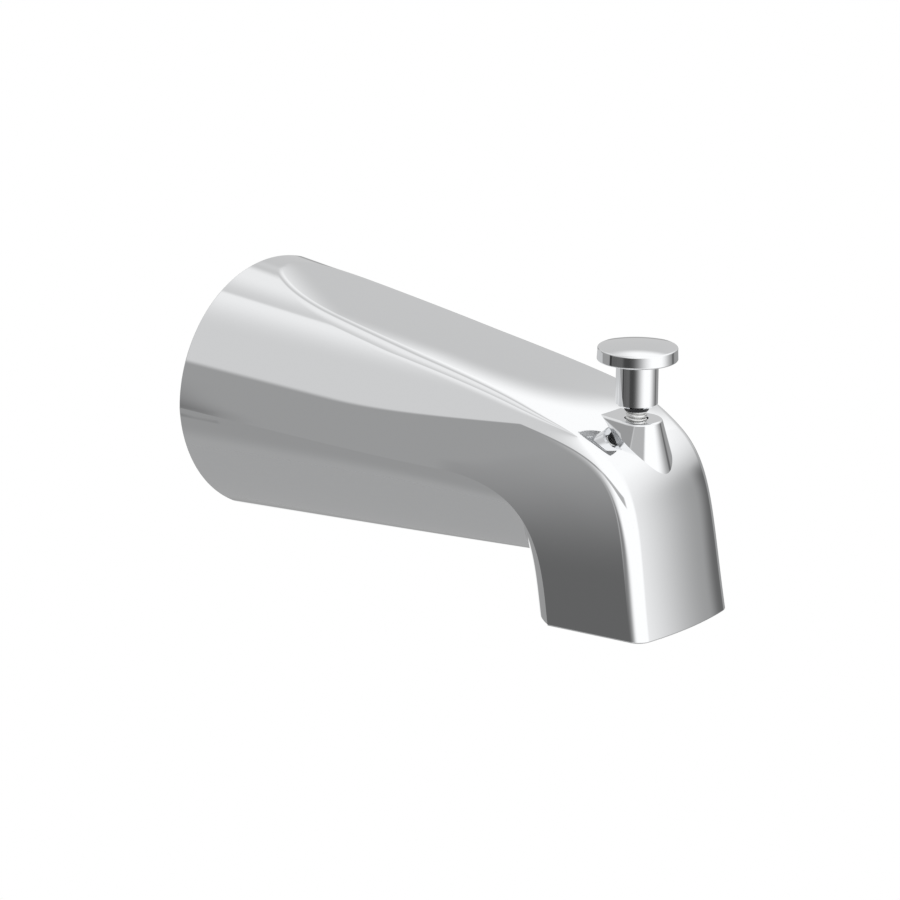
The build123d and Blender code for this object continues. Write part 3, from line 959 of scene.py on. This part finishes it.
def polish_group():
    """Fine wipe marks and faint dried drops on plated metal: roughness and height."""
    tree, inputs, outputs = group_named("polish_and_drops", ("Roughness", "Marks"), ("Roughness", "Height"))
    place = add(tree, "ShaderNodeTexCoord", (-900, -250))
    stretch = add(tree, "ShaderNodeMapping", (-700, -250), in_Scale=(0.35, 1.0, 1.0))
    wipes = add(tree, "ShaderNodeTexNoise", (-500, -100), in_Scale=900.0, in_Detail=3.0, in_Roughness=0.6)
    cloud = add(tree, "ShaderNodeTexNoise", (-500, -350), in_Scale=38.0, in_Detail=2.0)
    drops = add(tree, "ShaderNodeTexVoronoi", (-500, -600), in_Scale=170.0, in_Randomness=1.0)
    drop_ring = add(tree, "ShaderNodeValToRGB", (-280, -600))
    ramp = drop_ring.color_ramp
    ramp.elements[0].position = 0.05
    ramp.elements[0].color = (0.35, 0.35, 0.35, 1)
    ramp.elements[1].position = 0.13
    ramp.elements[1].color = (0, 0, 0, 1)
    ring = ramp.elements.new(0.1)
    ring.color = (1, 1, 1, 1)
    sparse = add(tree, "ShaderNodeMath", (-280, -380), operation="GREATER_THAN", in_1=0.56)
    few = add(tree, "ShaderNodeMath", (-60, -500), operation="MULTIPLY")
    both = add(tree, "ShaderNodeMath", (120, -200), operation="ADD")
    scaled = add(tree, "ShaderNodeMath", (300, -100), operation="MULTIPLY")
    total = add(tree, "ShaderNodeMath", (500, 0), operation="ADD")
    wire(
        tree, (place, "Object", stretch, "Vector"), (stretch, "Vector", wipes, "Vector"),
        (place, "Object", cloud, "Vector"), (place, "Object", drops, "Vector"),
        (drops, "Distance", drop_ring, "Fac"),
        (cloud, "Fac", sparse, 0), (drop_ring, "Color", few, 0), (sparse, "Value", few, 1),
        (wipes, "Fac", both, 0), (few, "Value", both, 1), (both, "Value", scaled, 0),
        (inputs, "Marks", scaled, 1), (scaled, "Value", total, 0), (inputs, "Roughness", total, 1),
        (total, "Value", outputs, "Roughness"), (cloud, "Fac", outputs, "Height"))
    return tree


def speckle_group():
    """Colour and height of a moulded or cast grain."""
    tree, inputs, outputs = group_named(
        "cast_grain", ("Color", "Variation", "Scale"), ("Color", "Height", "Roughness"))
    place = add(tree, "ShaderNodeTexCoord", (-900, -250))
    grain = add(tree, "ShaderNodeTexNoise", (-600, -100), in_Detail=4.0, in_Roughness=0.65)
    patch = add(tree, "ShaderNodeTexNoise", (-600, -350), in_Scale=90.0, in_Detail=2.0)
    level = add(tree, "ShaderNodeMapRange", (-350, -350), in_3=-1.0, in_4=1.0)
    gain = add(tree, "ShaderNodeMath", (-150, -300), operation="MULTIPLY_ADD", in_2=1.0)
    tint = add(tree, "ShaderNodeVectorMath", (150, 0), operation="SCALE")
    rough = add(tree, "ShaderNodeMapRange", (150, -250), in_3=0.42, in_4=0.68)
    wire(
        tree, (place, "Object", grain, "Vector"), (inputs, "Scale", grain, "Scale"),
        (place, "Object", patch, "Vector"), (patch, "Fac", level, "Value"), (level, "Result", gain, 0),
        (inputs, "Variation", gain, 1), (inputs, "Color", tint, 0), (gain, "Value", tint, "Scale"),
        (grain, "Fac", rough, "Value"), (tint, "Vector", outputs, "Color"),
        (grain, "Fac", outputs, "Height"), (rough, "Result", outputs, "Roughness"))
    return tree


def finish_material(name):
    """A new material with its tree and shader."""
    material = bpy.data.materials.new(name)
    material.use_nodes = True
    tree = material.node_tree
    shader = next(node for node in tree.nodes if node.type == "BSDF_PRINCIPLED")
    return material, tree, shader


def chrome_material(name, colour, marks, bump, rough=0.025):
    """Polished chrome plate: faint wipe marks, dried drops and the slight waves of a polished casting."""
    material, tree, shader = finish_material(name)
    group = bpy.data.node_groups.get("polish_and_drops") or polish_group()
    effect = add(tree, "ShaderNodeGroup", (-600, 0), node_tree=group, in_Roughness=rough, in_Marks=marks)
    wave = add(tree, "ShaderNodeBump", (-300, -250), in_Strength=bump, in_Distance=0.0004)
    shader.inputs["Base Color"].default_value = colour
    shader.inputs["Metallic"].default_value = 1.0
    wire(
        tree, (effect, "Roughness", shader, "Roughness"), (effect, "Height", wave, "Height"),
        (wave, "Normal", shader, "Normal"))
    return material


def grained_material(name, colour, metallic, variation, scale, bump, depth):
    """A cast, moulded or rubber finish with its own grain."""
    material, tree, shader = finish_material(name)
    group = bpy.data.node_groups.get("cast_grain") or speckle_group()
    effect = add(
        tree, "ShaderNodeGroup", (-600, 0), node_tree=group, in_Color=colour, in_Variation=variation,
        in_Scale=scale)
    relief = add(tree, "ShaderNodeBump", (-300, -250), in_Strength=bump, in_Distance=depth)
    shader.inputs["Metallic"].default_value = metallic
    wire(
        tree, (effect, "Color", shader, "Base Color"), (effect, "Roughness", shader, "Roughness"),
        (effect, "Height", relief, "Height"), (relief, "Normal", shader, "Normal"))
    return material


def turned_material(name, colour, rough, axis, centre):
    """Machined metal with fine tool lines along one axis."""
    material, tree, shader = finish_material(name)
    place = add(tree, "ShaderNodeTexCoord", (-1100, 0))
    shift = add(tree, "ShaderNodeMapping", (-900, 0), in_Location=tuple(-c * MM for c in centre))
    lines = add(tree, "ShaderNodeTexWave", (-650, 0), in_Scale=420.0, in_Distortion=1.5, in_Detail=2.0)
    lines.wave_type = "BANDS"
    lines.bands_direction = axis
    stain = add(tree, "ShaderNodeTexNoise", (-650, -300), in_Scale=140.0, in_Detail=3.0)
    shade = add(tree, "ShaderNodeMapRange", (-400, -300), in_3=0.86, in_4=1.08)
    tint = add(tree, "ShaderNodeVectorMath", (-200, 100), operation="SCALE")
    tint.inputs[0].default_value = colour[:3]
    gloss = add(tree, "ShaderNodeMapRange", (-400, -100), in_3=rough * 0.8, in_4=rough * 1.5)
    groove = add(tree, "ShaderNodeBump", (-200, -350), in_Strength=0.15, in_Distance=0.00004)
    shader.inputs["Metallic"].default_value = 1.0
    wire(
        tree, (place, "Object", shift, "Vector"), (shift, "Vector", lines, "Vector"),
        (place, "Object", stain, "Vector"), (stain, "Fac", shade, "Value"),
        (shade, "Result", tint, "Scale"), (tint, "Vector", shader, "Base Color"),
        (lines, "Fac", gloss, "Value"), (gloss, "Result", shader, "Roughness"),
        (lines, "Fac", groove, "Height"), (groove, "Normal", shader, "Normal"))
    return material


def dress(node, material):
    """Gives a carried-over solid one finish."""
    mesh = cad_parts[node].data
    mesh.materials.clear()
    mesh.materials.append(material)


# Threads


def thread_tree():
    """Geometry nodes for a thread's ridge: a spiral swept with a round section."""
    tree = bpy.data.node_groups.new("thread_ridge", "GeometryNodeTree")
    tree.interface.new_socket("Geometry", in_out="INPUT", socket_type="NodeSocketGeometry")
    for label, kind in (
            ("Turns", "Float"), ("Radius", "Float"), ("Length", "Float"), ("Ridge", "Float"),
            ("Place", "Vector"), ("Turn", "Vector"), ("Steps", "Int"), ("Finish", "Material")):
        tree.interface.new_socket(label, in_out="INPUT", socket_type="NodeSocket" + kind)
    tree.interface.new_socket("Geometry", in_out="OUTPUT", socket_type="NodeSocketGeometry")
    inputs = add(tree, "NodeGroupInput", (-900, 0))
    outputs = add(tree, "NodeGroupOutput", (1100, 0))
    spiral = add(tree, "GeometryNodeCurveSpiral", (-600, 100))
    section = add(tree, "GeometryNodeCurvePrimitiveCircle", (-600, -250), in_Resolution=12)
    sweep = add(tree, "GeometryNodeCurveToMesh", (-300, 0), in_Fill_Caps=True)
    move = add(tree, "GeometryNodeTransform", (0, 0))
    smooth = add(tree, "GeometryNodeSetShadeSmooth", (250, 0))
    real = add(tree, "GeometryNodeRealizeInstances", (500, 0))
    finish = add(tree, "GeometryNodeSetMaterial", (750, 0))
    wire(
        tree, (inputs, "Steps", spiral, "Resolution"), (inputs, "Turns", spiral, "Rotations"),
        (inputs, "Radius", spiral, "Start Radius"), (inputs, "Radius", spiral, "End Radius"),
        (inputs, "Length", spiral, "Height"), (inputs, "Ridge", section, "Radius"),
        (spiral, "Curve", sweep, "Curve"), (section, "Curve", sweep, "Profile Curve"),
        (sweep, "Mesh", move, "Geometry"), (inputs, "Place", move, "Translation"),
        (inputs, "Turn", move, "Rotation"), (move, "Geometry", smooth, "Geometry"),
        (smooth, "Geometry", real, "Geometry"), (real, "Geometry", finish, "Geometry"),
        (inputs, "Finish", finish, "Material"), (finish, "Geometry", outputs, "Geometry"))
    return tree


def thread_ridge(name, material, **sizes):
    """A thread's ridge as a plain mesh."""
    tree = bpy.data.node_groups.get("thread_ridge") or thread_tree()
    holder = bpy.data.objects.new(name + "_nodes", bpy.data.meshes.new(name + "_nodes"))
    bpy.context.scene.collection.objects.link(holder)
    modifier = holder.modifiers.new("thread_ridge", "NODES")
    modifier.node_group = tree
    sockets = {item.name: item.identifier for item in tree.interface.items_tree if item.in_out == "INPUT"}
    for label, value in sizes.items():
        modifier[sockets[label]] = value
    modifier[sockets["Finish"]] = material
    bpy.context.view_layer.update()
    evaluated = holder.evaluated_get(bpy.context.evaluated_depsgraph_get())
    mesh = bpy.data.meshes.new_from_object(evaluated)
    bpy.data.objects.remove(holder)
    mesh.name = name
    obj = bpy.data.objects.new(name, mesh)
    bpy.context.scene.collection.objects.link(obj)
    return obj


# Operators


class SPOUT_OT_casting(bpy.types.Operator):
    """Skin of the casting with its crease, boss, rims and inside"""
    bl_idname = "spout.casting"
    bl_label = "Casting"

    def execute(self, context):
        finish = context.scene.spout_finish
        rim = context.scene.spout_sizes.rim_rounding / MM
        chrome = chrome_material("chrome_plate", finish.chrome, marks=0.02, bump=0.02)
        inside = grained_material(
            "casting_inside", finish.cast_inside, metallic=1.0, variation=0.25, scale=1400.0, bump=0.5,
            depth=0.00012)
        fills = [(0, 0.0, (-1, 0, 0), 0), (2, OUTLET_Z, (0, 0, -1), 0)]
        body = spout_skin(rim).make("spout_casting", [chrome, inside], fills)
        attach(body, "spout")
        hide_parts("spout_body")
        return {"FINISHED"}


class SPOUT_OT_knob(bpy.types.Operator):
    """Turned lift knob"""
    bl_idname = "spout.knob"
    bl_label = "Lift knob"

    def execute(self, context):
        finish = context.scene.spout_finish
        chrome = chrome_material("chrome_trim", finish.chrome, marks=0.02, bump=0.01)
        satin = chrome_material("knob_underside", finish.underside, marks=0.04, bump=0.01, rough=0.3)
        knob = knob_shell(context.scene.spout_sizes.knob_segments).make("lift_knob", [chrome, satin])
        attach(knob, "diverter")
        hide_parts("diverter_knob")
        return {"FINISHED"}


class SPOUT_OT_threads(bpy.types.Operator):
    """Rod with its thread, and the inlet's thread"""
    bl_idname = "spout.threads"
    bl_label = "Threads"

    def execute(self, context):
        finish = context.scene.spout_finish
        sizes = context.scene.spout_sizes
        steel = chrome_material("threaded_rod", finish.rod, marks=0.06, bump=0.01, rough=0.14)
        bar = rod_shell(ROD_RADIUS - sizes.rod_thread_depth / MM).make("threaded_bar", [steel])
        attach(bar, "diverter")
        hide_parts("diverter_rod")
        turns = (THREAD_TOP - THREAD_FOOT) * MM / sizes.rod_thread_pitch
        ridge = 0.5 * sizes.rod_thread_pitch
        rod = thread_ridge(
            "rod_thread", steel, Turns=turns, Radius=ROD_RADIUS * MM - ridge,
            Length=turns * sizes.rod_thread_pitch, Ridge=ridge, Steps=64,
            Place=(ROD_STATION * MM, 0.0, THREAD_FOOT * MM), Turn=(0.0, 0.0, 0.0))
        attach(rod, "diverter")
        brass = turned_material(
            "machined_brass", finish.brass, rough=0.22, axis="X", centre=(0, 0, INLET_AXIS_Z))
        dress("inlet_bushing", brass)
        turns = INLET_THREAD_LENGTH * MM / sizes.pipe_thread_pitch
        pipe = thread_ridge(
            "inlet_thread", brass, Turns=turns, Radius=INLET_RADIUS * MM,
            Length=turns * sizes.pipe_thread_pitch, Ridge=sizes.pipe_thread_height, Steps=64,
            Place=(INLET_THREAD_START * MM, 0.0, INLET_AXIS_Z * MM), Turn=(0.0, math.pi / 2, 0.0))
        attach(pipe, "spout")
        return {"FINISHED"}


class SPOUT_OT_trim(bpy.types.Operator):
    """Bumper ring, and finishes of the seals, the bush and the gate"""
    bl_idname = "spout.trim"
    bl_label = "Rings, bush and gate"

    def execute(self, context):
        finish = context.scene.spout_finish
        rubber = grained_material(
            "black_rubber", finish.rubber, metallic=0.0, variation=0.2, scale=2600.0, bump=0.25,
            depth=0.00003)
        ring = ring_shell().make("bumper_ring", [rubber])
        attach(ring, "diverter")
        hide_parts("knob_bumper_ring")
        for node in ("rod_seal_ring", "gate_seal"):
            dress(node, rubber)
        dress("rod_guide_bush", grained_material(
            "bush_plastic", finish.bush, metallic=0.0, variation=0.06, scale=1800.0, bump=0.12,
            depth=0.00003))
        dress("diverter_gate", grained_material(
            "gate_plastic", finish.gate, metallic=0.0, variation=0.12, scale=1600.0, bump=0.2,
            depth=0.00004))
        return {"FINISHED"}


# Studio


def panel_group():
    """Level of one soft panel laid over what is behind it, with its own fade at each edge."""
    labels = (
        "Around", "Height", "Behind", "Level", "Left", "Left full", "Right full", "Right",
        "Bottom", "Bottom full", "Top full", "Top")
    tree, inputs, outputs = group_named("soft_panel", labels, ("Level",))
    mask = None
    for k, (start, end, angle, rising) in enumerate((
            ("Left", "Left full", "Around", True), ("Right full", "Right", "Around", False),
            ("Bottom", "Bottom full", "Height", True), ("Top full", "Top", "Height", False))):
        fade = add(tree, "ShaderNodeMapRange", (-600, 300 - 250 * k), interpolation_type="SMOOTHSTEP")
        fade.inputs[3].default_value = 0.0 if rising else 1.0
        fade.inputs[4].default_value = 1.0 if rising else 0.0
        wire(tree, (inputs, angle, fade, 0), (inputs, start, fade, 1), (inputs, end, fade, 2))
        if mask is None:
            mask = fade
        else:
            both = add(tree, "ShaderNodeMath", (-300 + 150 * k, 200 - 200 * k), operation="MULTIPLY")
            wire(tree, (mask, 0, both, 0), (fade, 0, both, 1))
            mask = both
    blend = add(tree, "ShaderNodeMix", (500, 0))
    wire(
        tree, (mask, 0, blend, 0), (inputs, "Behind", blend, 2), (inputs, "Level", blend, 3),
        (blend, 0, outputs, "Level"))
    return tree


# Soft panels round the studio, each over those before it: level, then where its fades begin and end in
# degrees, for the left and right edges and for the lower and upper edges
STUDIO_PANELS = (
    ("low fill", 0.40, (-400, -399, 399, 400), (-200, -199, -40, -26)),
    ("under fill", 0.335, (-400, -399, 399, 400), (-39, -28, -19, -13)),
    ("rear fill", 0.62, (-200, -199, -128, -112), (-2, 3, 199, 200)),
    ("right fill", 0.62, (110, 125, 199, 200), (2, 26, 199, 200)),
    ("left fill", 0.70, (-132, -118, 0, 30), (16.5, 20, 199, 200)),
    ("first overhead box", 0.95, (-129.5, -123.5, -118, -90), (36, 41, 199, 200)),
    ("second overhead box", 0.96, (-91, -86, -84, -48), (36, 41, 199, 200)),
    ("rear top box", 1.12, (-200, -199, -142, -128), (29.5, 37, 199, 200)),
    ("key box", 1.15, (-20, 24, 105, 152), (-60, -40, 199, 200)),
    ("flank flag", 0.36, (-26, -22, 4, 14), (10.5, 12, 17.6, 19.5)),
    ("flank flag, right end", 0.50, (6, 14, 57, 68), (10.5, 12, 17.6, 19.5)),
    ("edge flag", 0.25, (-11, -6, 0, 46), (-16, -13, -9, -3)),
    ("right top box", 1.12, (96, 112, 180, 215), (8, 42, 199, 200)),
    ("right top box, past the rear", 1.12, (-264, -248, -180, -145), (8, 42, 199, 200)),
    ("right flag", 0.15, (149, 156, 159, 168), (-40, -30, 4, 16)),
    ("backdrop", 1.0, (-156, -151, -124, -119), (-31, -27, -7, -3)),
    ("left strip", 0.72, (-108, -102, -88, -84), (-17.6, -16.6, 6, 14)),
    ("wall side flag", 0.19, (-41, -38, -35.8, -33.5), (-17, -12, -4, 9)),
    ("narrow flag", 0.045, (-48, -46, -39.5, -38), (-25, -22, -3, 0)),
    ("low flag, left end", 0.125, (-39, -38, -21.5, -20), (-17.6, -16.8, -15.2, -14.6)),
    ("low flag", 0.137, (-22.5, -21, 24, 84), (-18.5, -17, -13.4, -10.9)),
    ("low flag middle", 0.065, (-8, 4, 14, 34), (-19, -17, -13.4, -10.9)),
)


def studio_world():
    """Soft studio panels by direction, over an even surround."""
    world = bpy.data.worlds.new("studio")
    bpy.context.scene.world = world
    world.use_nodes = True
    tree = world.node_tree
    tree.nodes.clear()
    place = add(tree, "ShaderNodeTexCoord", (-1800, 0))
    split = add(tree, "ShaderNodeSeparateXYZ", (-1600, 0))
    back = add(tree, "ShaderNodeMath", (-1400, 200), operation="MULTIPLY", in_1=-1.0)
    turn = add(tree, "ShaderNodeMath", (-1200, 200), operation="ARCTAN2")
    around = add(tree, "ShaderNodeMath", (-1000, 200), operation="DEGREES")
    rise = add(tree, "ShaderNodeMath", (-1200, -200), operation="ARCSINE")
    height = add(tree, "ShaderNodeMath", (-1000, -200), operation="DEGREES")
    wire(
        tree, (place, "Generated", split, 0), (split, "Y", back, 0), (split, "X", turn, 0),
        (back, 0, turn, 1), (turn, 0, around, 0), (split, "Z", rise, 0), (rise, 0, height, 0))
    group = panel_group()
    behind = None
    for k, (label, level, sideways, upright) in enumerate(STUDIO_PANELS):
        panel = add(tree, "ShaderNodeGroup", (-700 + 200 * k, 0), label=label)
        panel.node_tree = group
        panel.inputs["Behind"].default_value = SURROUND
        panel.inputs["Level"].default_value = level
        for socket, angle in zip(list(panel.inputs)[4:], (*sideways, *upright)):
            socket.default_value = angle
        wire(tree, (around, 0, panel, "Around"), (height, 0, panel, "Height"))
        if behind is not None:
            wire(tree, (behind, 0, panel, "Behind"))
        behind = panel
    light = add(tree, "ShaderNodeBackground", (1900, 0))
    output = add(tree, "ShaderNodeOutputWorld", (2100, 0))
    wire(tree, (behind, 0, light, "Color"), (light, 0, output, "Surface"))


class SPOUT_OT_studio(bpy.types.Operator):
    """Camera, soft studio surroundings and a plain pale floor"""
    bl_idname = "spout.studio"
    bl_label = "Studio"

    def execute(self, context):
        scene = context.scene
        studio = scene.spout_studio
        scene.view_settings.view_transform = "Standard"
        turn = math.radians(CAMERA_TURN)
        tilt = math.radians(CAMERA_TILT)
        right = np.array([math.cos(turn), math.sin(turn), 0])
        back = np.array([math.sin(turn) * math.cos(tilt), -math.cos(turn) * math.cos(tilt), math.sin(tilt)])
        up = np.cross(back, right)
        place = (CAMERA_RIGHT * right + CAMERA_UP * up + CAMERA_BACK * back) * MM
        lens = bpy.data.cameras.new("main_camera")
        lens.lens = studio.focal_length
        lens.sensor_width = 36.0
        lens.clip_start = 0.01
        camera = bpy.data.objects.new("main_camera", lens)
        matrix = np.eye(4)
        matrix[:3] = np.stack([right, up, back, place], 1)
        camera.matrix_world = Matrix(matrix.tolist())
        scene.collection.objects.link(camera)
        scene.camera = camera
        studio_world()
        ring = circle(FLOOR_SEGMENTS)
        floor_shell = Shell()
        floor_shell.grid(np.stack([ring * r + FLOOR_CENTRE for r in FLOOR_RADII]) / MM, around=True)
        pale = grained_material(
            "pale_floor", studio.floor, metallic=0.0, variation=0.02, scale=60.0, bump=0.02, depth=0.0005)
        floor = floor_shell.make("studio_floor", [pale])
        return {"FINISHED"}


class SPOUT_PT_panel(bpy.types.Panel):
    """Lists the spout's pieces, sizes and finishes"""
    bl_label = "Bath spout"
    bl_idname = "SPOUT_PT_panel"
    bl_space_type = "VIEW_3D"
    bl_region_type = "UI"
    bl_category = "Bath spout"

    def draw(self, context):
        column = self.layout.column()
        for operator in operators:
            column.operator(operator.bl_idname)
        for group in (context.scene.spout_sizes, context.scene.spout_finish, context.scene.spout_studio):
            box = self.layout.box()
            for name in group.bl_rna.properties.keys():
                if name not in ("rna_type", "name"):
                    box.prop(group, name)


operators = (SPOUT_OT_studio, SPOUT_OT_casting, SPOUT_OT_knob, SPOUT_OT_threads, SPOUT_OT_trim)
classes = (SpoutSizes, SpoutFinish, SpoutStudio, *operators, SPOUT_PT_panel)


def register():
    for cls in classes:
        bpy.utils.register_class(cls)
    bpy.types.Scene.spout_sizes = PointerProperty(type=SpoutSizes)
    bpy.types.Scene.spout_finish = PointerProperty(type=SpoutFinish)
    bpy.types.Scene.spout_studio = PointerProperty(type=SpoutStudio)


def unregister():
    del bpy.types.Scene.spout_studio
    del bpy.types.Scene.spout_finish
    del bpy.types.Scene.spout_sizes
    for cls in reversed(classes):
        bpy.utils.unregister_class(cls)


def main():
    register()
    bpy.ops.spout.studio()
    bpy.ops.spout.casting()
    bpy.ops.spout.knob()
    bpy.ops.spout.threads()
    bpy.ops.spout.trim()


if __name__ == "__main__":
    main()
